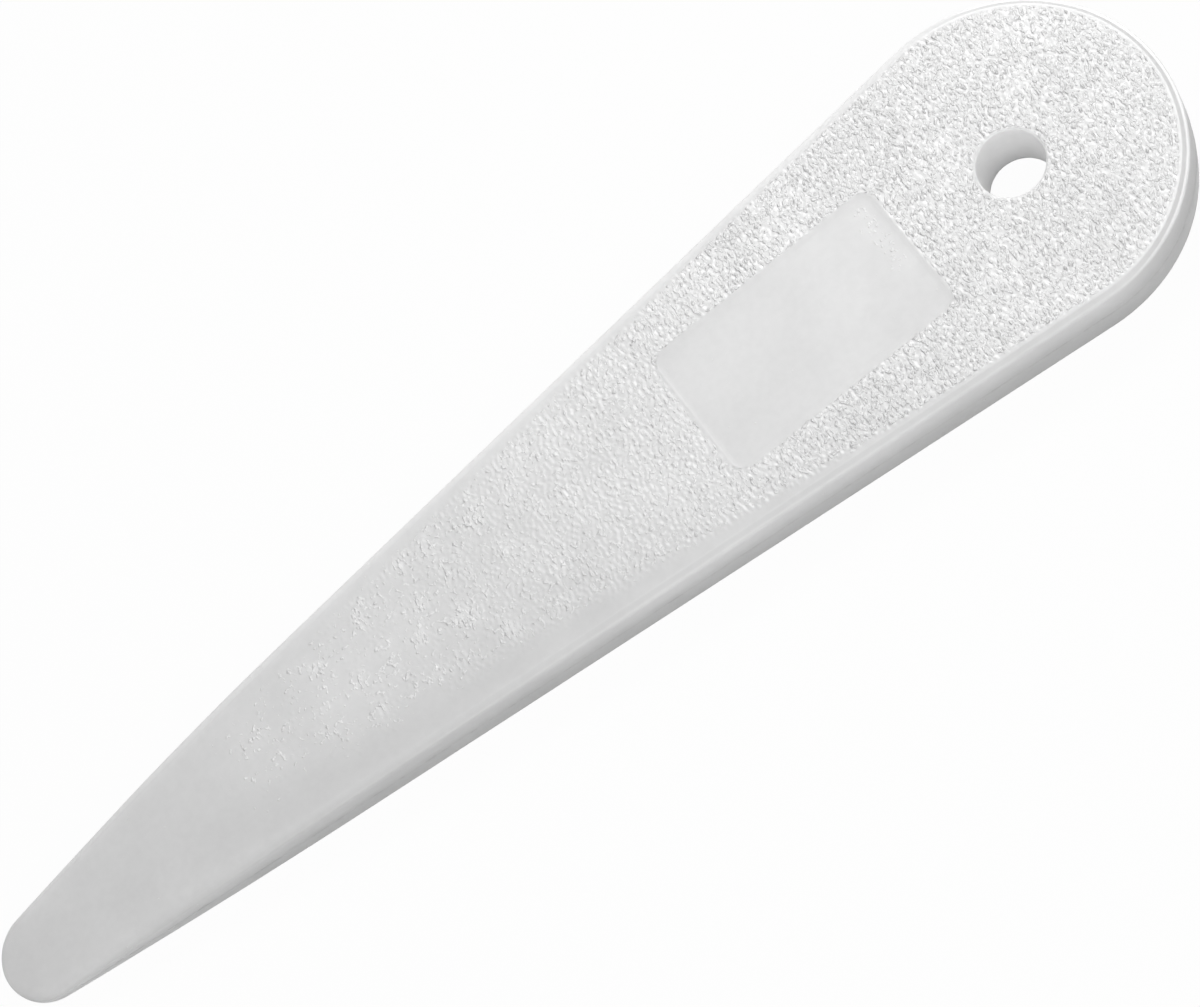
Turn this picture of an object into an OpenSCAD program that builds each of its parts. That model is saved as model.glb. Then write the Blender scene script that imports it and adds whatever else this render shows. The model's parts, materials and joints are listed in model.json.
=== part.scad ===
// Trim removal tool: a one-piece moulded wedge with a teardrop outline, a thin prying tip,
// a hanging hole and a shallow smooth pad sunk in the top face of the handle.
// The sole lies on Z = 0, the tip points to -X and the origin is the middle of the length.

/* [Outline] */
// Length from the tip to the round end
tool_len = 200; // [150:1:260]
// Radius of the round end
end_r = 24.2; // [18:0.1:32]
// Radius of the tip
tip_r = 6.7; // [4:0.1:10]
// Distance from the tip to the shoulder, where the flanks turn in
shoulder_at = 37.5; // [30:0.5:60]
// How far the shoulder stands out from a straight flank
shoulder_bow = 0.7; // [0:0.05:3]
// Length over which the flanks bend at the shoulder
shoulder_blend = 36; // [10:1:40]

/* [Thickness] */
// Thickness at the round end
end_t = 10.5; // [8:0.1:14]
// Height of the top face where the wedge starts
wedge_t = 7.1; // [6:0.1:8]
// Distance from the tip to the start of the wedge
wedge_len = 42; // [30:1:70]
// Length over which the top face bends into the wedge
wedge_blend = 30; // [10:1:50]
// Thickness of the edge at the tip
tip_t = 1.1; // [0.8:0.1:2.5]
// Height of the sole above the rest plane at the tip
sole_lift = 1.1; // [0:0.1:2.5]
// Distance from the tip to where the sole starts to rise
sole_len = 40; // [25:1:60]
// Length over which the sole bends up
sole_blend = 16; // [5:1:30]

/* [Edges] */
// Width of the edge rounding at the round end
end_edge = 0.9; // [0.4:0.1:2.5]
// Width of the edge rounding at the start of the wedge
wedge_edge = 1.2; // [0.4:0.1:2.5]
// Height of the upright land at the parting line
parting_land = 0.6; // [0.2:0.1:0.7]
// Lean of the side walls away from the parting line, in degrees
draft = 2; // [0:0.5:5]

/* [Hanging hole] */
// Diameter of the hole
hole_d = 9.7; // [5:0.1:14]
// Distance from the round end to the middle of the hole
hole_from_end = 23.8; // [16:0.1:30]

/* [Pad] */
// Length of the pad along the tool
pad_len = 37; // [20:0.5:50]
// Width of the pad
pad_w = 21.2; // [10:0.2:24]
// Radius of the pad's corners
pad_corner = 2; // [0.5:0.1:4]
// Depth of the pad below the top face
pad_depth = 0.2; // [0.1:0.05:0.6]
// Distance from the rim of the hole to the pad
pad_gap = 12.3; // [5:0.1:25]

/* [Hidden] */

// Rounds are divided into this many steps
end_steps = 26;
flank_steps = 28;
tip_steps = 14;
edge_steps = 5;
hole_fn = 96;
corner_fn = 48;
// Extra length of a cut past the face that it opens
cut_past = 1;

// Slopes of the top face before and after the bend, and of the sole at the tip
wedge_slope = (wedge_t - tip_t - sole_lift) / wedge_len;
handle_slope = (end_t - wedge_t) / (tool_len - wedge_len);
sole_slope = sole_lift / sole_len;

// The outline wraps circles centred along the tool: these are the first and last centres,
// and the growth of the radius per millimetre on either side of the shoulder
tip_c = tip_r;
end_c = tool_len - end_r;
shoulder_r = mix(tip_r, end_r, (shoulder_at - tip_c) / (end_c - tip_c)) + shoulder_bow;
wedge_growth = (shoulder_r - tip_r) / (shoulder_at - tip_c);
handle_growth = (end_r - shoulder_r) / (end_c - shoulder_at);

hole_x = tool_len - hole_from_end;
pad_x = hole_x - hole_d / 2 - pad_gap - pad_len / 2;

function mix(a, b, share) = a + (b - a) * share;

function limit(value, low, high) = min(high, max(low, value));

// How much of a bend lies behind a point: 0 before it, 1 after it, growing over the blend length
function bent(x, at, blend) = limit((x - at) / blend + 0.5, 0, 1);

// The run that the bend adds up to: 0 before it, then one for each millimetre past it
function bend(x, at, blend) = x > at + blend / 2 ? x - at : blend * pow(bent(x, at, blend), 2) / 2;

// Heights of the top face and of the sole at a distance from the tip
function top_z(x) =
    sole_lift + tip_t + wedge_slope * x + (handle_slope - wedge_slope) * bend(x, wedge_len, wedge_blend);
function sole_z(x) = sole_lift + sole_slope * (bend(x, sole_len, sole_blend) - x);
function thickness(x) = top_z(x) - sole_z(x);

// Width of the edge rounding: it changes from the round end to the wedge and thins out with the tip
function edge_w(x) =
    mix(wedge_edge, end_edge, limit((x - wedge_len) / (tool_len - wedge_len), 0, 1))
    * min(1, thickness(x) / thickness(wedge_len));
function edge_h(x) = min(edge_w(x), (thickness(x) - parting_land) / 2);

// Radius of the plan circle centred at a distance from the tip, and the angle at which the flank leaves it
function plan_r(c) =
    tip_r + wedge_growth * (c - tip_c)
    + (handle_growth - wedge_growth) * bend(c, shoulder_at, shoulder_blend);
function plan_turn(c) = 90 + asin(mix(wedge_growth, handle_growth, bent(c, shoulder_at, shoulder_blend)));

// One half of the outline, from the round end to the tip, as [centre, radius, angle of the normal]
half_outline = concat(
    [for (i = [0 : end_steps - 1]) [end_c, end_r, plan_turn(end_c) * i / end_steps]],
    [for (i = [0 : flank_steps]) let (c = mix(end_c, tip_c, i / flank_steps)) [c, plan_r(c), plan_turn(c)]],
    [for (i = [1 : tip_steps]) [tip_c, tip_r, mix(plan_turn(tip_c), 180, i / tip_steps)]]
);
last = len(half_outline) - 1;

// The whole outline runs back along the other half, mirrored
outline = concat(
    half_outline,
    [for (i = [last - 1 : -1 : 1]) [half_outline[i][0], half_outline[i][1], -half_outline[i][2]]]
);
round_count = len(outline);

// Steps up the side, as [side of the parting line, angle round the edge]
levels = concat(
    [for (i = [edge_steps : -1 : 0]) [-1, 90 * i / edge_steps]],
    [[0, 0]],
    [for (i = [0 : edge_steps]) [1, 90 * i / edge_steps]]
);
level_count = len(levels);

// Point of the side at one place of the outline and one level
function side_point(place, level) =
    let (
        centre = place[0],
        radius = place[1],
        turn = place[2],
        base_x = centre + radius * cos(turn),
        half_t = thickness(base_x) / 2,
        wall = half_t - edge_h(base_x),
        lean = wall * tan(draft) + edge_w(base_x) * (1 - cos(level[1])),
        rise = level[0] * (wall + edge_h(base_x) * sin(level[1])),
        inset = abs(level[0]) * lean,
        x = centre + (radius - inset) * cos(turn),
        y = (radius - inset) * sin(turn)
    )
    [x, y, mix(sole_z(x), top_z(x), 0.5 + rise / half_t / 2)];

// Index of a point by its level and its place, counted round the outline
function at(level, place) = level * round_count + (place + round_count) % round_count;

// The solid blank: rings of points stacked from the sole to the top face
module blank() {
    points = [for (level = levels) for (place = outline) side_point(place, level)];
    sides = [
        for (k = [0 : level_count - 2])
            for (i = [0 : round_count - 1])
                for (face = [
                    [at(k, i), at(k + 1, i), at(k + 1, i + 1)],
                    [at(k, i), at(k + 1, i + 1), at(k, i + 1)]
                ]) face
    ];
    top = level_count - 1;
    caps = concat(
        [[at(0, 0), at(0, 1), at(0, -1)]],
        [[at(top, -1), at(top, 1), at(top, 0)]],
        [for (i = [1 : last - 2]) [at(0, i), at(0, i + 1), at(0, -i - 1), at(0, -i)]],
        [for (i = [1 : last - 2]) [at(top, -i), at(top, -i - 1), at(top, i + 1), at(top, i)]],
        [[at(0, last - 1), at(0, last), at(0, last + 1)]],
        [[at(top, last + 1), at(top, last), at(top, last - 1)]]
    );
    polyhedron(points, concat(sides, caps));
}

// Rectangle with round corners, centred
module round_rectangle(length, width, corner) {
    square([length - 2 * corner, width], center = true);
    square([length, width - 2 * corner], center = true);
    for (x = [-1, 1])
        for (y = [-1, 1])
            translate([x * (length / 2 - corner), y * (width / 2 - corner)])
                circle(corner, $fn = corner_fn);
}

// The pad's floor lies parallel to the top face
module pad_cut() {
    translate([pad_x, 0, top_z(pad_x)])
        rotate([0, -atan(handle_slope), 0])
            translate([0, 0, -pad_depth])
                linear_extrude(pad_depth + cut_past)
                    round_rectangle(pad_len, pad_w, pad_corner);
}

module hole_cut() {
    translate([hole_x, 0, -cut_past])
        cylinder(d = hole_d, h = end_t + 2 * cut_past, $fn = hole_fn);
}

module body() {
    color("whitesmoke")
        translate([-tool_len / 2, 0, 0])
            difference() {
                blank();
                hole_cut();
                pad_cut();
            }
}

body();
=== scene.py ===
"""Looks of the trim removal tool: one moulded piece whose fine mesh follows the CAD body's sizes.

The larger ridges of the grain, the rim of the round end, the parting line, the hole's rounded rims and the
sunk pad are real shapes. The finest wrinkles and the single dots are bump in the material. Lengths are in
millimetres, counted from the tip along X, until the mesh is written in metres.
"""

import json
import math

import bpy
import numpy as np
from mathutils import Matrix, Vector
from mathutils.geometry import delaunay_2d_cdt


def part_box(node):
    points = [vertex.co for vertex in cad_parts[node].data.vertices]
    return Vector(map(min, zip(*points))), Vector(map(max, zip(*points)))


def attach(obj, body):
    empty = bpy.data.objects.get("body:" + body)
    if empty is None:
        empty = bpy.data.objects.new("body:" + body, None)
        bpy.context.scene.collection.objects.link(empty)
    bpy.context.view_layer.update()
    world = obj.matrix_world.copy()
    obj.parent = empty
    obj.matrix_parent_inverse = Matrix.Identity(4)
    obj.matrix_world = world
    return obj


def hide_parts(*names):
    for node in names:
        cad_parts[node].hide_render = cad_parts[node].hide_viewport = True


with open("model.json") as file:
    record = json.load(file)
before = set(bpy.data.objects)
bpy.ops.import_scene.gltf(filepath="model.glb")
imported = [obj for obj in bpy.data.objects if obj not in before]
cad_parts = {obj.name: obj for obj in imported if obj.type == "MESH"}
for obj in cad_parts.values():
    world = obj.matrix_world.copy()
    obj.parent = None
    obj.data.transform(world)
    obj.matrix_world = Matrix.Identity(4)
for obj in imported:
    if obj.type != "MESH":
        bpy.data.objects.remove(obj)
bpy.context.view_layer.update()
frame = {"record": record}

MM = 0.001
low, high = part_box("body")
mounts = {mount["name"]: mount for mount in frame["record"]["mounts"]}

# Sizes of the CAD body
TOOL_LEN = (high.x - low.x) / MM
END_T = 10.5
END_R = 24.2
TIP_R = 6.7
SHOULDER_AT, SHOULDER_BOW, SHOULDER_BLEND = 37.5, 0.7, 36.0
WEDGE_T, WEDGE_LEN, WEDGE_BLEND = 7.1, 42.0, 30.0
TIP_T = 1.1
SOLE_LIFT, SOLE_LEN, SOLE_BLEND = 1.1, 40.0, 16.0
END_EDGE, WEDGE_EDGE = 0.9, 1.2
PARTING_LAND = 0.6
DRAFT = math.tan(math.radians(2))
HOLE_X = mounts["hanging_hole"]["pos_m"][0] / MM + TOOL_LEN / 2
HOLE_R = mounts["hanging_hole"]["dims"]["r_mm"]
PAD_X = mounts["pad"]["pos_m"][0] / MM + TOOL_LEN / 2
PAD_LEN, PAD_W, PAD_CORNER = 37.0, 21.2, 2.0

# Detail of the edges, the hole and the pad that the CAD body leaves to this script
HOLE_ROUND = 0.25
PAD_STEP = 0.06
PAD_RIDGE = 0.02
PARTING_GROOVE = 0.06
PARTING_HALF = 0.22
TIP_ROUND = 0.4
END_REACH, END_TUCK = 0.3, 0.2
CRISP_SPAN = (172, 190)

# Section of the top edge, as (inset, drop) shares of the edge's width from the face to the wall: the flanks
# have a sloping band and a soft turn, the round end a fine ridge, a chamfer and a narrow level lip
FLANK_SECTION = [(1.12, 0.0), (1.05, 0.01), (0.97, 0.03), (0.85, 0.065), (0.7, 0.115), (0.55, 0.17),
                 (0.4, 0.225), (0.28, 0.28), (0.18, 0.34), (0.11, 0.41), (0.06, 0.5), (0.03, 0.62),
                 (0.01, 0.8), (0.0, 1.0)]
RIM_SECTION = [(1.3, 0.0), (1.22, -0.02), (1.14, -0.035), (1.06, 0.0), (0.98, 0.07), (0.84, 0.18),
               (0.7, 0.28), (0.57, 0.36), (0.48, 0.38), (0.35, 0.375), (0.2, 0.38), (0.1, 0.42),
               (0.03, 0.55), (0.0, 1.0)]
LOWER_EDGE_ROWS = 8
TOP_RIM_ROWS, SOLE_RIM_ROWS = 6, 4

# Section of the pad's step, as (distance out from its outline, share of the step)
PAD_SECTION = [(0.25, 0.0), (0.1, 0.06), (-0.05, 0.22), (-0.25, 0.5), (-0.45, 0.78), (-0.6, 0.94),
               (-0.8, 1.0)]
RIDGE_AT, RIDGE_HALF, RIDGE_END = 0.1, 0.15, 1.5

# The grain along the tool, as (distances from the tip, values): the level that its ridges rise over, their
# size, the smooth margin by the near flank, and how close the fine wrinkles are
GRAIN_LEVEL = ([42, 50, 60, 70, 84, 105, 140], [2.4, 1.8, 1.4, 1.0, 0.2, -0.5, -1.3])
GRAIN_SIZE = ([42, 60, 84, 105, 125, 140], [1.2, 1.9, 1.9, 1.3, 1.5, 1.9])
GRAIN_MARGIN = ([50, 70, 90, 110, 135, 150], [4.6, 4.0, 3.2, 2.0, 0.7, 0.3])
GRAIN_DENSITY = ([40, 45, 50, 60, 70, 84, 105, 125, 140],
                 [0.0, 0.37, 0.41, 0.47, 0.53, 0.61, 0.66, 0.73, 0.85])
# Height for one unit of relief, the most that it can reach, the pitch of the ridges and how softly they rise
GRAIN_HEIGHT = 0.08
GRAIN_TOP = 0.095
GRAIN_WAVELENGTH = 0.88
RIDGE_SOFTNESS, COVER_SOFTNESS = 0.04, 0.64
# Where the grain starts and is full, in from the rim of the top face, as (distance, share of the margin)
RIM_FADE = [(0.1, 0.4), (0.25, 1.7)]
# Share of the margin on the far side, how far from the pad, the hole and the sole's rim the grain fades in,
# and where along the tool it stops being sparse, covers the face, starts with dots and loses its margins
FAR_MARGIN = 0.3
PAD_FADE = (0.15, 0.4)
HOLE_FADE = (HOLE_ROUND, HOLE_ROUND + 0.3)
SOLE_FADE = (0.3, 2.5)
SPARSE_SPAN = (70, 120)
COVER_SPAN = (55, 105)
DOTS_SPAN = (40, 46)
MARGIN_ENDS = (165, 190)
# How strongly the sparse ridges and the single dots gather in clusters
RIDGE_CLUSTER, DOT_CLUSTER = 0.4, 0.12
# Closeness of the few specks of grain on the pad, and where they lie from its end and its middle line
SPECKS = 0.63
SPECKS_FROM_END, SPECKS_FROM_MIDDLE = (5, 3), (-8, 3)
# Depth of the shallow sink waves in the faces
SINK_DEPTH, PAD_SINK_DEPTH = 0.01, 0.006

# Painted light and shade of the side rows, counted from the edge of the top face, as (rows, tones): below 0
# is painted paler and above 0 painted darker, on the near side of the handle and of the blade, on the far
# side and on the round end, whose rim lines are painted bright and dark
HANDLE_PAINTED_SHADING = ([0, 3, 5, 8, 10, 14, 16], [0.2, 0.5, 0.5, 0.2, -0.2, -0.25, 0.0])
BLADE_PAINTED_SHADING = ([0, 3, 6, 9, 12], [0.3, 0.4, 0.65, 0.65, 0.35])
FAR_PAINTED_HIGHLIGHT = ([0, 6, 10, 13], [-0.1, -0.8, -0.8, 0.0])
END_PAINTED_SHADING = ([0, 2, 4, 7, 9, 11, 13], [-0.6, -0.6, 0.45, 0.45, -0.8, -0.8, 0.4])
# Where the blade's looks turn into the handle's along the tool, and, as sines of the outline's angle, where
# the near side's painted shade turns into the far side's painted highlight
HANDLE_SPAN = (60, 110)
FAR_SPAN = (-0.6, 0.1)
# Painted light at the foot of the walls by the tip and painted shade there further along, and the share of
# the height they fade over
TIP_FOOT_PAINTED_LIGHT, FOOT_PAINTED_SHADE = -0.6, 1.0
FOOT_SPAN = (0, 40)
FOOT_HEIGHT = (0.0, 0.9)
# Painted light: the bore is painted paler over this depth within its rim
BORE_PAINTED_LIGHT = (0.0, 0.2)
# Painted shade of the top face by the near flank: how far in it reaches, on which side, and where it starts
# and ends
MARGIN_PAINTED_SHADE = 0.32
MARGIN_REACH, MARGIN_SIDE = (1, 14), (-2, 4)
MARGIN_FROM, MARGIN_TO = (25, 50), (145, 170)

# Spacing of the points of the flat faces; on the top face as (spacing, from, to), close under the grain
TOP_SPREAD = [(1.0, 0, 38), (0.5, 38.5, 43), (0.262, 43.2, TOOL_LEN)]
PAD_SPREAD = 0.9
SOLE_SPREAD = 1.2
# How far these points stay from the rims, as a share of the spacing, and from the pad's outline and the hole
RIM_SPACE = 0.6
PAD_SPACE, PAD_FLOOR_SPACE = 0.38, 1.3
HOLE_SPACE, SOLE_HOLE_SPACE = HOLE_ROUND + 0.15, HOLE_ROUND + 0.5

# Scales of the plastic's noises, per metre, and the range that most of their values lie in
CLOSE_WRINKLES, LOOSE_WRINKLES = 2300, 1500
CLOUDS, FLECKS, SCUFFS, SATIN, SKIN = 70, 900, 330, 160, 3500
NOISE_RANGE = (0.3, 0.7)
# Whiteness of the clouds, and what the flecks and the painted light and shade from palest to darkest
# multiply it by
CLOUD_WHITE = (0.685, 0.735)
FLECK_SHADE = (0.985, 1.015)
PAINTED_SHADING_RANGE = (1.22, 0.78)
# Bump for one unit of height, in metres
WRINKLE_DEPTH, SKIN_DEPTH = 0.0015, 0.000004

# Camera, lamps and light of the studio, in metres and watts
CAMERA_LENS = 132.744
CAMERA_PLACE = (0.02710, -0.25578, 0.54709)
CAMERA_RIGHT = (0.785162, -0.546687, -0.290952)
CAMERA_UP = (0.618151, 0.720319, 0.314690)
LAMP_AIM = (0.02, 0.0, 0.0)
SKY_STRENGTH = 0.29
WHITE = (1, 1, 1, 1)
FLOOR_GREY = (0.60, 0.60, 0.60, 1)
FLOOR_WHITE_SHARE = 0.97
FLOOR_HALF, FLOOR_Z = 3.0, -5e-5


def mix(a, b, share):
    return a + (b - a) * share


def ease(x, start, end):
    """0 before start, 1 after end, smooth between."""
    t = np.clip((x - start) / (end - start), 0, 1)
    return t * t * (3 - 2 * t)


def soft_positive(value, softness):
    """The value where it is well above 0 and nearly 0 where it is well below, with a soft turn."""
    return (value + np.sqrt(value ** 2 + softness)) / 2


# The same form as the CAD body: eased bends, heights of the two faces and the width of the edge rounding
def bent(x, at, blend):
    return np.clip((x - at) / blend + 0.5, 0, 1)


def bend(x, at, blend):
    return np.where(x > at + blend / 2, x - at, blend * bent(x, at, blend) ** 2 / 2)


WEDGE_SLOPE = (WEDGE_T - TIP_T - SOLE_LIFT) / WEDGE_LEN
HANDLE_SLOPE = (END_T - WEDGE_T) / (TOOL_LEN - WEDGE_LEN)


def top_z(x):
    return (SOLE_LIFT + TIP_T + WEDGE_SLOPE * x
            + (HANDLE_SLOPE - WEDGE_SLOPE) * bend(x, WEDGE_LEN, WEDGE_BLEND))


def sole_z(x):
    return SOLE_LIFT + SOLE_LIFT / SOLE_LEN * (bend(x, SOLE_LEN, SOLE_BLEND) - x)


def thickness(x):
    return top_z(x) - sole_z(x)


def edge_w(x):
    share = np.clip((x - WEDGE_LEN) / (TOOL_LEN - WEDGE_LEN), 0, 1)
    return mix(WEDGE_EDGE, END_EDGE, share) * np.clip(thickness(x) / thickness(WEDGE_LEN), TIP_ROUND, 1)


def edge_h(x):
    return np.minimum(edge_w(x), (thickness(x) - PARTING_LAND) / 2)


TIP_C, END_C = TIP_R, TOOL_LEN - END_R
SHOULDER_R = mix(TIP_R, END_R, (SHOULDER_AT - TIP_C) / (END_C - TIP_C)) + SHOULDER_BOW
WEDGE_GROWTH = (SHOULDER_R - TIP_R) / (SHOULDER_AT - TIP_C)
HANDLE_GROWTH = (END_R - SHOULDER_R) / (END_C - SHOULDER_AT)


def plan_r(c):
    return (TIP_R + WEDGE_GROWTH * (c - TIP_C)
            + (HANDLE_GROWTH - WEDGE_GROWTH) * bend(c, SHOULDER_AT, SHOULDER_BLEND))


def plan_turn(c):
    return math.pi / 2 + np.arcsin(mix(WEDGE_GROWTH, HANDLE_GROWTH, bent(c, SHOULDER_AT, SHOULDER_BLEND)))


def outline():
    """Circle centres, radii and normal angles of the plan, from the round end by +Y to the tip and back."""
    end, flank, tip = 64, 190, 22
    arc = np.arange(end) / end
    run = np.linspace(END_C, TIP_C, flank + 1)
    nose = np.arange(1, tip + 1) / tip
    centre = np.concatenate([np.full(end, END_C), run, np.full(tip, TIP_C)])
    radius = np.concatenate([np.full(end, END_R), plan_r(run), np.full(tip, TIP_R)])
    turn = np.concatenate([plan_turn(END_C) * arc, plan_turn(run), mix(plan_turn(TIP_C), math.pi, nose)])
    back = slice(-2, 0, -1)
    return (np.concatenate([centre, centre[back]]), np.concatenate([radius, radius[back]]),
            np.concatenate([turn, -turn[back]]))


CENTRE, RADIUS, TURN = outline()
BASE_X = CENTRE + RADIUS * np.cos(TURN)
HALF_T = thickness(BASE_X) / 2
WALL = HALF_T - edge_h(BASE_X)
# How crisp the edge is: 1 at the round end with its ridge and lip, 0 along the soft flanks
CRISP = ease(BASE_X, *CRISP_SPAN)


def ring(side, lean, rise):
    """A closed row of points at a lean in from the parting line and a rise from it, to the top or sole."""
    x = CENTRE + (RADIUS + END_REACH * CRISP - lean) * np.cos(TURN)
    y = (RADIUS + END_REACH * CRISP - lean) * np.sin(TURN)
    z = mix(sole_z(x), top_z(x), 0.5 + side * rise / HALF_T / 2)
    return np.stack([x, y, z], 1)


def side_rings():
    """Rows from the edge of the top face, over the rim, down the wall and round to the edge of the sole."""
    rows = []
    width, rise = edge_w(BASE_X), edge_h(BASE_X)
    tuck = WALL * DRAFT + END_TUCK * CRISP
    mid_wall = mix(PARTING_HALF, WALL, 0.5)
    for flank, rim in zip(FLANK_SECTION, RIM_SECTION):
        inset, drop = mix(flank[0], rim[0], CRISP), mix(flank[1], rim[1], CRISP)
        rows.append(ring(1, width * inset, WALL + rise * (1 - drop)))
    rows.append(ring(1, 0.0, mid_wall))
    rows.append(ring(1, 0.0, PARTING_HALF))
    rows.append(ring(1, PARTING_GROOVE, PARTING_HALF / 3))
    rows.append(ring(-1, PARTING_GROOVE, PARTING_HALF / 3))
    rows.append(ring(-1, 0.0, PARTING_HALF))
    rows.append(ring(-1, tuck / 3, mid_wall))
    for turn in np.linspace(0, math.pi / 2, LOWER_EDGE_ROWS):
        rows.append(ring(-1, tuck + width * (1 - math.cos(turn)), WALL + rise * math.sin(turn)))
    return rows


def painted_side_shading(k, row):
    """Painted light and shade of side row k: flanks painted darker toward the sole, the far edge painted
    pale, the round end's rim lines painted bright and dark.
    """
    height = (row[:, 2] - sole_z(row[:, 0])) / thickness(row[:, 0])
    near = mix(np.interp(k, *BLADE_PAINTED_SHADING), np.interp(k, *HANDLE_PAINTED_SHADING), ease(BASE_X, *HANDLE_SPAN))
    edge = mix(near, np.interp(k, *FAR_PAINTED_HIGHLIGHT), ease(np.sin(TURN), *FAR_SPAN))
    foot = mix(TIP_FOOT_PAINTED_LIGHT, FOOT_PAINTED_SHADE, ease(BASE_X, *FOOT_SPAN))
    flank = mix(edge, foot, 1 - ease(height, *FOOT_HEIGHT))
    return mix(flank, np.interp(k, *END_PAINTED_SHADING), CRISP)


# Noise fields on a fine plan grid, made by filtering white noise to one wavelength
CELL = 0.1
FIELD_ROWS, FIELD_COLS = 512, 2048


def noise_field(seed, wavelength, spread, across_share=1.0):
    """A field of unit spread around one wavelength; with a low share across, its ridges cross the tool."""
    white = np.random.default_rng(seed).standard_normal((FIELD_ROWS, FIELD_COLS))
    across = np.fft.fftfreq(FIELD_ROWS, CELL)[:, None]
    along = np.fft.rfftfreq(FIELD_COLS, CELL)[None, :]
    frequency = np.hypot(across, along)
    frequency[0, 0] = 1e-6
    band = np.exp(-(np.log(frequency * wavelength) / spread) ** 2 / 2)
    band *= mix(1.0, across_share, (across / frequency) ** 2)
    field = np.fft.irfft2(np.fft.rfft2(white) * band, (FIELD_ROWS, FIELD_COLS))
    return field / field.std()


def read_field(field, x, y):
    u, v = x / CELL, y / CELL + FIELD_ROWS / 2
    i, j = np.floor(u).astype(int), np.floor(v).astype(int)
    fu, fv = u - i, v - j
    i, i2 = i % FIELD_COLS, (i + 1) % FIELD_COLS
    j, j2 = j % FIELD_ROWS, (j + 1) % FIELD_ROWS
    return mix(mix(field[j, i], field[j, i2], fu), mix(field[j2, i], field[j2, i2], fu), fv)


GRAIN = noise_field(seed=11, wavelength=GRAIN_WAVELENGTH, spread=0.28, across_share=0.4)
CLUSTER = noise_field(seed=3, wavelength=7.0, spread=0.4)
SINK = noise_field(seed=5, wavelength=14.0, spread=0.35)


def hole_loop(radius, count=120):
    turn = np.linspace(0, 2 * math.pi, count, endpoint=False)
    return np.stack([HOLE_X + radius * np.cos(turn), radius * np.sin(turn)], 1)


def pad_loop(out):
    """The pad's outline in plan, pushed out by a distance."""
    points = []
    corner, corner_steps = PAD_CORNER + out, 8
    for k, (sx, sy) in enumerate([(1, 1), (-1, 1), (-1, -1), (1, -1)]):
        turn = math.pi / 2 * (k + np.linspace(0, 1, corner_steps + 1))
        points.append(np.stack([PAD_X + sx * (PAD_LEN / 2 - PAD_CORNER) + corner * np.cos(turn),
                                sy * (PAD_W / 2 - PAD_CORNER) + corner * np.sin(turn)], 1))
    corners = np.concatenate(points)
    loop = []
    longest = 0.7
    for a, b in zip(corners, np.roll(corners, -1, 0)):
        steps = max(1, round(math.dist(a, b) / longest))
        loop.append(mix(a, b, np.arange(steps)[:, None] / steps))
    return np.concatenate(loop)


def pad_distance(x, y):
    """Distance outside the pad's outline, negative within."""
    qx = np.abs(x - PAD_X) - (PAD_LEN / 2 - PAD_CORNER)
    qy = np.abs(y) - (PAD_W / 2 - PAD_CORNER)
    return np.hypot(np.maximum(qx, 0), np.maximum(qy, 0)) + np.minimum(np.maximum(qx, qy), 0) - PAD_CORNER


def hole_distance(x, y):
    """Distance outside the hole, negative within."""
    return np.hypot(x - HOLE_X, y) - HOLE_R


def off_hole(x, y):
    """True outside the hole's rim, whose straight steps lie a little within its round."""
    slack = 0.02
    return hole_distance(x, y) > HOLE_ROUND - slack


def off_hole_and_pad(x, y):
    """True outside the hole's rim and the pad's outermost row."""
    slack = 0.05
    return (pad_distance(x, y) > PAD_SECTION[0][0] - slack) & off_hole(x, y)


def loop_distance(points, loop):
    """Distance from each point to a closed loop, read at points along it."""
    parts = 4
    share = np.arange(parts)[:, None, None] / parts
    dense = mix(loop[None], np.roll(loop, -1, 0)[None], share).reshape(-1, 2)
    distance = np.empty(len(points))
    batch = 4000
    for start in range(0, len(points), batch):
        gap = points[start:start + batch, None, :] - dense[None]
        distance[start:start + batch] = np.sqrt((gap ** 2).sum(2).min(1))
    return distance


def half_width(loop, x):
    """Half the width of a loop at each distance from the tip, below 0 outside it."""
    half = loop[:len(loop) // 2 + 1][::-1]
    return np.interp(x, half[:, 0], half[:, 1], left=-1, right=-1)


def lattice(step, start, end):
    """A triangular lattice of plan points."""
    pitch = step * math.sqrt(3) / 2
    rows = np.arange(start, end, pitch)
    columns = np.arange(-END_R, END_R, step)
    x = np.repeat(rows, len(columns))
    y = (columns[None, :] + step / 2 * (np.arange(len(rows)) % 2)[:, None]).ravel()
    return np.stack([x, y], 1)


def inside(points, loop, step):
    """The points within a loop that stay clear of its line."""
    points = points[np.abs(points[:, 1]) < half_width(loop, points[:, 0])]
    return points[loop_distance(points, loop) > RIM_SPACE * step]


def fill(loops, points, keep=None):
    """Triangles that fill the outer loop through loose points, where keep holds for their middles."""
    coords = np.concatenate([*loops, points])
    edges, start = [], 0
    for loop in loops:
        count = len(loop)
        edges += [(start + i, start + (i + 1) % count) for i in range(count)]
        start += count
    within_edges, tolerance = 1, 1e-6
    made = delaunay_2d_cdt([Vector(c) for c in coords.tolist()], edges, [], within_edges, tolerance)
    source = np.array([ids[0] for ids in made[3]])
    triangles = source[np.array(made[2])]
    if keep:
        triangles = triangles[keep(*coords[triangles].mean(1).T)]
    a, b, c = (coords[triangles[:, k]] for k in range(3))
    flipped = (b[:, 0] - a[:, 0]) * (c[:, 1] - a[:, 1]) < (b[:, 1] - a[:, 1]) * (c[:, 0] - a[:, 0])
    triangles[flipped] = triangles[flipped][:, ::-1]
    return triangles


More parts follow.
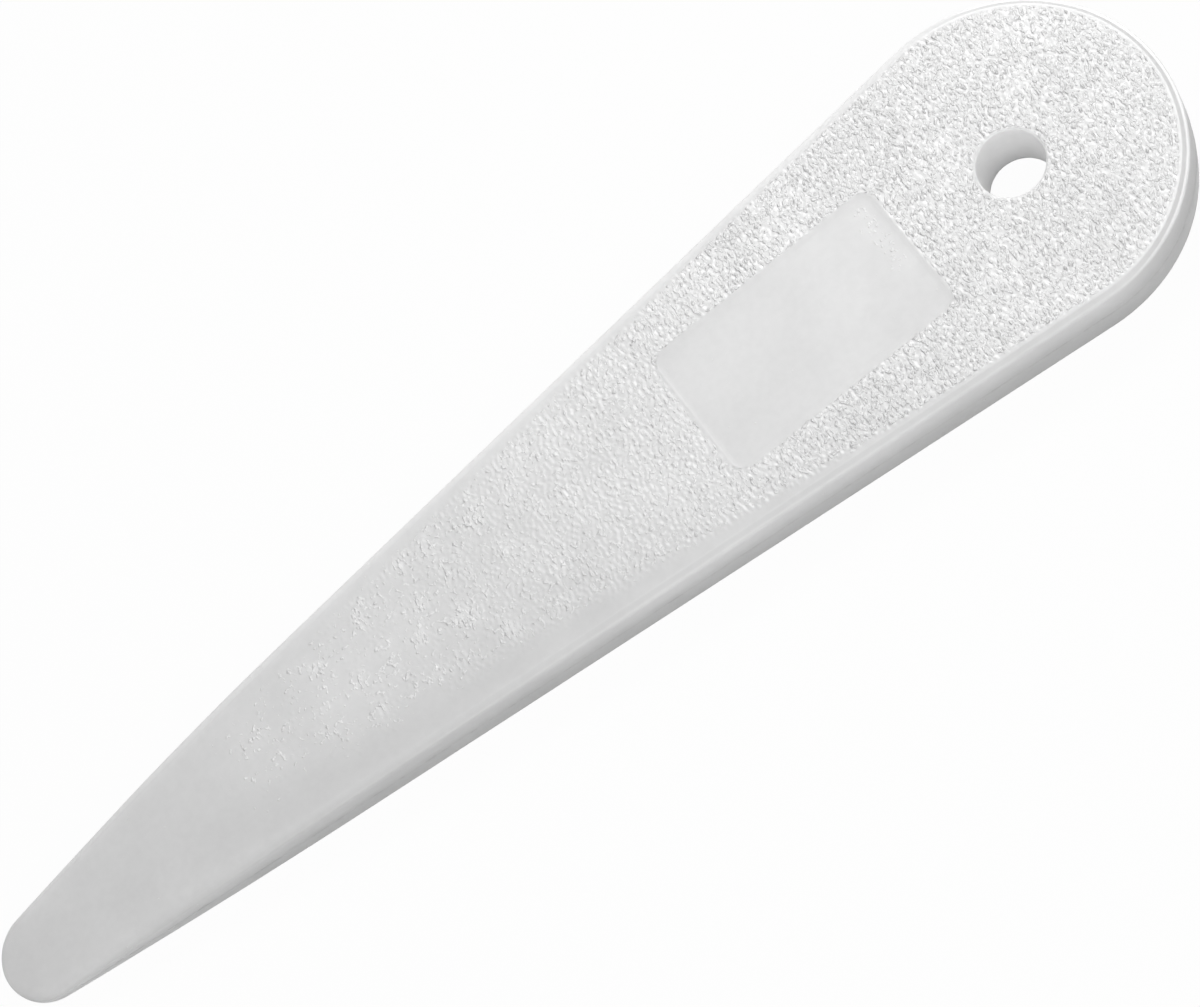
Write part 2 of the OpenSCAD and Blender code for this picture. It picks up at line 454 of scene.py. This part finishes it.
def grain_relief(x, y, to_rim):
    """Height of the grain at points of the top face, its share there and how close its wrinkles are."""
    # Sparse dots near the wedge that thicken to close ridges on the handle
    level = np.interp(x, *GRAIN_LEVEL)
    sparse = 1 - ease(x, *SPARSE_SPAN)
    cluster = read_field(CLUSTER, x, y)
    ridges = read_field(GRAIN, x, y) - level + RIDGE_CLUSTER * sparse * cluster
    relief = soft_positive(ridges, RIDGE_SOFTNESS)
    # Where the ridges cover the face, their usual height is taken off, so that it stays level
    usual = soft_positive(-level, COVER_SOFTNESS) * ease(x, *COVER_SPAN)
    # The grain stops at the rim's line on the round end and a little before the soft edges of the flanks
    margin = np.interp(x, *GRAIN_MARGIN) * np.where(y > 0, FAR_MARGIN, 1.0)
    margin *= 1 - ease(x, *MARGIN_ENDS)
    start, full = (distance + share * margin for distance, share in RIM_FADE)
    amount = ease(to_rim, start, full)
    amount *= ease(pad_distance(x, y), *PAD_FADE) * ease(hole_distance(x, y), *HOLE_FADE)
    density = np.interp(x, *GRAIN_DENSITY) + DOT_CLUSTER * sparse * ease(x, *DOTS_SPAN) * cluster
    height = GRAIN_HEIGHT * np.interp(x, *GRAIN_SIZE) * amount * (relief - usual)
    return GRAIN_TOP * np.tanh(height / GRAIN_TOP), amount, amount * density


class Shell:
    """Gathers points, faces and point values of one mesh."""

    def __init__(self):
        self.points, self.grain, self.seam, self.worn, self.faces = [], [], [], [], []
        self.count = 0

    def add(self, points, grain=0.0, seam=0.0, worn=0.0):
        """Take in points with their values, and give their numbers."""
        first = self.count
        self.points.append(points)
        self.grain.append(np.broadcast_to(grain, len(points)))
        self.seam.append(np.broadcast_to(seam, len(points)))
        self.worn.append(np.broadcast_to(worn, len(points)))
        self.count += len(points)
        return first + np.arange(len(points))

    def strip(self, rows, facing_in=False):
        """Quads between rows that follow one another down and run anticlockwise, seen from above."""
        for upper, lower in zip(rows, rows[1:]):
            a, b = (lower, upper) if facing_in else (upper, lower)
            self.faces += np.stack([a, b, np.roll(b, -1), np.roll(a, -1)], 1).tolist()

    def sheet(self, rows, triangles, facing_up=True):
        faces = np.concatenate(rows)[triangles]
        self.faces += (faces if facing_up else faces[:, ::-1]).tolist()

    def piece(self, name):
        mesh = bpy.data.meshes.new(name)
        points = np.concatenate(self.points)
        points[:, 0] -= TOOL_LEN / 2
        mesh.from_pydata((points * MM).tolist(), [], self.faces)
        for label, values in (("grain", self.grain), ("seam", self.seam), ("worn", self.worn)):
            layer = mesh.attributes.new(label, "FLOAT", "POINT")
            layer.data.foreach_set("value", np.concatenate(values).astype(np.float32))
        mesh.shade_smooth()
        piece = bpy.data.objects.new(name, mesh)
        bpy.context.scene.collection.objects.link(piece)
        return piece


def on_top(plan, drop=0.0):
    return np.column_stack([plan, top_z(plan[:, 0]) - drop])


def on_sole(plan, drop=0.0):
    return np.column_stack([plan, sole_z(plan[:, 0]) + drop])


def add_sides(shell):
    """The side walls with the parting line's fine groove at mid height; gives (points, numbers) of rows."""
    rows = side_rings()
    # The seam is strongest between the groove's two rows and fades out over the next ones
    seam_row, seam_reach = len(FLANK_SECTION) + 2.5, 2
    ids = []
    for k, row in enumerate(rows):
        seam = max(0.0, 1 - abs(k - seam_row) / seam_reach)
        # Each row also carries its painted light and shade: darker down the near walls, pale at the far edge
        # and the rim
        ids.append(shell.add(row, seam=seam, worn=painted_side_shading(k, row)))
    shell.strip(ids)
    return list(zip(rows, ids))


def hole_rim(on_face, shares):
    """Rows of the hole's rounded rim, from share 0 on a face to share 1 on the bore's wall."""
    rows = []
    for share in shares:
        turn = math.pi / 2 * share
        out, drop = HOLE_ROUND * (1 - math.sin(turn)), HOLE_ROUND * (1 - math.cos(turn))
        rows.append(on_face(hole_loop(HOLE_R + out), drop))
    return rows


def add_bore(shell):
    """The bore, painted pale inside as painted light, with rounded rims; gives (points, numbers) of its
    rows.
    """
    upper = hole_rim(on_top, np.linspace(0, 1, TOP_RIM_ROWS))
    lower = hole_rim(on_sole, np.linspace(1, 0, SOLE_RIM_ROWS))
    wall = [mix(upper[-1], lower[0], share) for share in (0.25, 0.5, 0.75)]
    rows = upper + wall + lower
    ids = []
    for row in rows:
        depth = HOLE_ROUND - hole_distance(row[:, 0], row[:, 1])
        # Painted light: the bore's wall is painted paler below its rim
        ids.append(shell.add(row, worn=-ease(depth, *BORE_PAINTED_LIGHT)))
    shell.strip(ids, facing_in=True)
    return list(zip(rows, ids))


def add_pad(shell):
    """The pad's soft step, faintly ridged at two ends, and its floor; gives (points, numbers) of rows."""
    end_x = PAD_LEN / 2
    rows = []
    for out, share in PAD_SECTION:
        row = pad_loop(out)
        at_end = ease(np.abs(row[:, 0] - PAD_X), end_x - RIDGE_END, end_x)
        ridge = PAD_RIDGE * at_end * max(0.0, 1 - abs(out - RIDGE_AT) / RIDGE_HALF)
        rows.append(on_top(row, share * PAD_STEP - ridge))
    ids = [shell.add(row) for row in rows]
    shell.strip(ids, facing_in=True)

    floor = lattice(PAD_SPREAD, PAD_X - end_x, PAD_X + end_x)
    floor = floor[pad_distance(*floor.T) < -PAD_FLOOR_SPACE]
    x, y = floor.T
    wave = PAD_SINK_DEPTH * read_field(SINK, x, y)
    # A few specks of the grain run on into the corner by the hole
    start, full = (PAD_X + end_x - inset for inset in SPECKS_FROM_END)
    specks = SPECKS * ease(x, start, full) * ease(y, *SPECKS_FROM_MIDDLE)
    floor_ids = shell.add(on_top(floor, PAD_STEP - wave), grain=specks)
    shell.sheet([ids[-1], floor_ids], fill([rows[-1][:, :2]], floor))
    return list(zip(rows, ids))


def add_top(shell, rim, hole, pad):
    """The top face between the given rows: a smooth blade, then the grained handle."""
    loops = [row[:, :2] for row, ids in (rim, hole, pad)]
    points = np.concatenate([inside(lattice(*spread), loops[0], spread[0]) for spread in TOP_SPREAD])
    clear = (pad_distance(*points.T) > PAD_SPACE) & (hole_distance(*points.T) > HOLE_SPACE)
    points = points[clear]
    x, y = points.T
    to_rim = loop_distance(points, loops[0])
    relief, amount, density = grain_relief(x, y, to_rim)
    wave = SINK_DEPTH * read_field(SINK, x, y) * amount
    # Painted shade: the top face is painted darker along the near flank's rim
    painted_margin_shade = MARGIN_PAINTED_SHADE * (1 - ease(to_rim, *MARGIN_REACH)) * ease(-y, *MARGIN_SIDE)
    painted_margin_shade *= ease(x, *MARGIN_FROM) * (1 - ease(x, *MARGIN_TO))
    top_ids = shell.add(on_top(points, -relief - wave), grain=density, worn=painted_margin_shade)
    shell.sheet([rim[1], hole[1], pad[1], top_ids], fill(loops, points, off_hole_and_pad))


def add_sole(shell, rim, hole):
    """The sole between the given rows, grained under the handle."""
    loops = [row[:, :2] for row, ids in (rim, hole)]
    points = inside(lattice(SOLE_SPREAD, 0, TOOL_LEN), loops[0], SOLE_SPREAD)
    points = points[hole_distance(*points.T) > SOLE_HOLE_SPACE]
    grain = ease(loop_distance(points, loops[0]), *SOLE_FADE) * ease(points[:, 0], *HANDLE_SPAN)
    sole_ids = shell.add(on_sole(points), grain=grain)
    shell.sheet([rim[1], hole[1], sole_ids], fill(loops, points, off_hole), facing_up=False)


def build_tool():
    shell = Shell()
    sides = add_sides(shell)
    bore = add_bore(shell)
    pad = add_pad(shell)
    add_top(shell, sides[0], bore[0], pad[0])
    add_sole(shell, sides[-1], bore[-1])
    return shell.piece("tool_moulding")


class Graph:
    """The shader nodes of a material or world, with short ways to add and join them."""

    def __init__(self, owner):
        owner.use_nodes = True
        self.nodes, self.links = owner.node_tree.nodes, owner.node_tree.links

    def feed(self, socket, given):
        """Link a socket to an output, or set it to a plain value."""
        if isinstance(given, bpy.types.NodeSocket):
            self.links.new(given, socket)
        else:
            socket.default_value = given

    def node(self, kind, inputs):
        node = self.nodes.new(kind)
        for name, given in inputs.items():
            self.feed(node.inputs[name], given)
        return node

    def noise(self, place, scale, detail=2.0, rough=0.5):
        inputs = {"Vector": place, "Scale": scale, "Detail": detail, "Roughness": rough}
        return self.node("ShaderNodeTexNoise", inputs).outputs["Fac"]

    def point_value(self, name):
        node = self.nodes.new("ShaderNodeAttribute")
        node.attribute_name = name
        return node.outputs["Fac"]

    def math(self, kind, *values):
        node = self.nodes.new("ShaderNodeMath")
        node.operation = kind
        for socket, given in zip(node.inputs, values):
            self.feed(socket, given)
        return node.outputs[0]

    def span(self, source, given, wanted):
        """One range of a value stretched to another, and held beyond its ends."""
        inputs = {"Value": source, "From Min": given[0], "From Max": given[1],
                  "To Min": wanted[0], "To Max": wanted[1]}
        return self.node("ShaderNodeMapRange", inputs).outputs["Result"]

    def bump(self, height, distance):
        inputs = {"Height": height, "Distance": distance, "Strength": 1.0}
        return self.node("ShaderNodeBump", inputs)

    def blend(self, share, first, second):
        """A shader that goes from the first to the second as the share goes from 0 to 1."""
        node = self.nodes.new("ShaderNodeMixShader")
        for socket, given in zip(node.inputs, (share, first.outputs[0], second.outputs[0])):
            self.links.new(given, socket)
        return node.outputs[0]

    def background_share(self):
        """1 for rays that see the background straight, in a gloss or through glass."""
        path = self.nodes.new("ShaderNodeLightPath").outputs
        seen = path["Is Camera Ray"]
        for name in ("Is Glossy Ray", "Is Transmission Ray"):
            seen = self.math("MAXIMUM", seen, path[name])
        return seen


def grain_peaks(graph, place, grain):
    """Fine wrinkles that rise out of the face where the grain is dense, and single dots where it is thin."""
    stretch = graph.node("ShaderNodeMapping", {"Vector": place, "Scale": (1.0, 0.6, 1.0)})
    close = graph.noise(stretch.outputs["Vector"], CLOSE_WRINKLES, detail=1, rough=0.4)
    loose = graph.noise(place, LOOSE_WRINKLES, detail=1, rough=0.4)
    closeness = graph.span(grain, (0.5, 0.85), (0.0, 1.0))
    change = graph.math("MULTIPLY", graph.math("SUBTRACT", close, loose), closeness)
    wrinkle = graph.math("ADD", loose, change)
    level = graph.span(grain, (0.0, 1.0), (0.8, 0.42))
    softness = 0.06
    return graph.math("SMOOTH_MAX", graph.math("SUBTRACT", wrinkle, level), 0.0, softness)


def white_plastic():
    """White moulded plastic: satin where smooth, finely pebbled where the grain is, scuffed at the seam,
    with painted glints, sheen, light and shade in its colour.
    """
    material = bpy.data.materials.new("white_plastic")
    graph = Graph(material)
    shader = graph.nodes["Principled BSDF"].inputs
    place = graph.nodes.new("ShaderNodeTexCoord").outputs["Object"]
    grain, seam, worn = (graph.point_value(name) for name in ("grain", "seam", "worn"))
    peaks = grain_peaks(graph, place, grain)

    # The plastic is a little translucent, so its walls shade softly and its thin tip stays pale
    shader["IOR"].default_value = 1.49
    shader["Subsurface Radius"].default_value = (1.0, 1.0, 1.0)
    shader["Subsurface Scale"].default_value = 0.004
    graph.feed(shader["Subsurface Weight"], graph.span(grain, (0.0, 0.6), (0.9, 0.3)))

    # Cloudy white with a faint fleck, darker on the parting line; painted glints pale the peaks, painted
    # sheen pales the dense grain, and the point values add painted light and shade
    cloud = graph.span(graph.noise(place, CLOUDS, detail=3), NOISE_RANGE, CLOUD_WHITE)
    fleck = graph.span(graph.noise(place, FLECKS), NOISE_RANGE, FLECK_SHADE)
    # Painted sheen: the dense grain is painted paler
    grain_sheen = graph.span(grain, (0.66, 0.84), (1.0, 1.1))
    # Painted glints: the peaks of the wrinkles are painted paler
    pale = graph.math("MULTIPLY", graph.span(peaks, (0.0, 0.05), (1.0, 1.16)), grain_sheen)
    scuff = graph.span(graph.noise(place, SCUFFS, detail=4, rough=0.65), (0.48, 0.62), (0.0, 0.2))
    scuffed = graph.math("SUBTRACT", pale, graph.math("MULTIPLY", scuff, seam))
    # Painted light and shade from the point values
    shaded_by_paint = graph.math("MULTIPLY", graph.span(worn, (-1.0, 1.0), PAINTED_SHADING_RANGE), scuffed)
    shade = graph.math("MULTIPLY", graph.math("MULTIPLY", cloud, fleck), shaded_by_paint)
    grey = graph.nodes.new("ShaderNodeCombineColor")
    for channel in grey.inputs:
        graph.feed(channel, shade)
    graph.feed(shader["Base Color"], grey.outputs[0])

    satin = graph.span(graph.noise(place, SATIN, detail=3), NOISE_RANGE, (0.33, 0.39))
    graph.feed(shader["Roughness"], graph.math("ADD", satin, graph.math("MULTIPLY", grain, 0.03)))

    # The wrinkles, and a faint mould texture everywhere
    height = graph.math("MULTIPLY", peaks, graph.span(grain, (0.4, 0.8), (0.85, 1.0)))
    pebble = graph.bump(height, WRINKLE_DEPTH)
    skin = graph.bump(graph.noise(place, SKIN, detail=1), SKIN_DEPTH)
    graph.feed(skin.inputs["Normal"], pebble.outputs["Normal"])
    graph.feed(shader["Normal"], skin.outputs["Normal"])
    return material


def set_world():
    """A dim white sky that shows as plain white."""
    world = bpy.data.worlds.new("studio")
    bpy.context.scene.world = world
    graph = Graph(world)
    sky = graph.nodes["Background"]
    sky.inputs["Color"].default_value = WHITE
    sky.inputs["Strength"].default_value = SKY_STRENGTH
    white = graph.node("ShaderNodeBackground", {"Color": WHITE, "Strength": 1.0})
    shown = graph.blend(graph.background_share(), sky, white)
    graph.feed(graph.nodes["World Output"].inputs["Surface"], shown)


def set_floor():
    """A wide pale floor that shows white and keeps a faint shadow of the tool."""
    corners = [(x * FLOOR_HALF, y * FLOOR_HALF, FLOOR_Z) for x, y in ((-1, -1), (1, -1), (1, 1), (-1, 1))]
    mesh = bpy.data.meshes.new("floor")
    mesh.from_pydata(corners, [], [(0, 1, 2, 3)])
    floor = bpy.data.objects.new("floor", mesh)
    bpy.context.scene.collection.objects.link(floor)
    material = bpy.data.materials.new("floor")
    graph = Graph(material)
    matt = graph.nodes["Principled BSDF"]
    matt.inputs["Base Color"].default_value = FLOOR_GREY
    matt.inputs["Roughness"].default_value = 0.9
    matt.inputs["Specular IOR Level"].default_value = 0.0
    white = graph.node("ShaderNodeEmission", {"Strength": 1.0})
    share = graph.math("MULTIPLY", graph.background_share(), FLOOR_WHITE_SHARE)
    graph.feed(graph.nodes["Material Output"].inputs["Surface"], graph.blend(share, matt, white))
    floor.data.materials.append(material)


def add_lamp(name, place, size, watts):
    lamp = bpy.data.lights.new(name, "AREA")
    lamp.shape = "SQUARE"
    lamp.size = size
    lamp.energy = watts
    holder = bpy.data.objects.new(name, lamp)
    holder.location = place
    holder.rotation_mode = "QUATERNION"
    holder.rotation_quaternion = (Vector(LAMP_AIM) - Vector(place)).to_track_quat("-Z", "Y")
    bpy.context.scene.collection.objects.link(holder)


def set_camera():
    camera = bpy.data.cameras.new("camera")
    camera.sensor_fit = "HORIZONTAL"
    camera.sensor_width = 36
    camera.lens = CAMERA_LENS
    camera.clip_start, camera.clip_end = 0.01, 50
    holder = bpy.data.objects.new("camera", camera)
    right, up = Vector(CAMERA_RIGHT), Vector(CAMERA_UP)
    turn = Matrix((right, up, right.cross(up))).transposed().to_4x4()
    holder.matrix_world = Matrix.Translation(CAMERA_PLACE) @ turn
    bpy.context.scene.collection.objects.link(holder)
    bpy.context.scene.camera = holder


tool = build_tool()
tool.data.materials.append(white_plastic())
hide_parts("body")
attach(tool, "root")

set_camera()
set_world()
set_floor()
add_lamp("key", place=(0.20, 0.18, 0.31), size=0.12, watts=0.99)
add_lamp("fill", place=(-0.02, -0.39, 0.41), size=0.35, watts=1.30)
bpy.context.scene.view_settings.view_transform = "Standard"
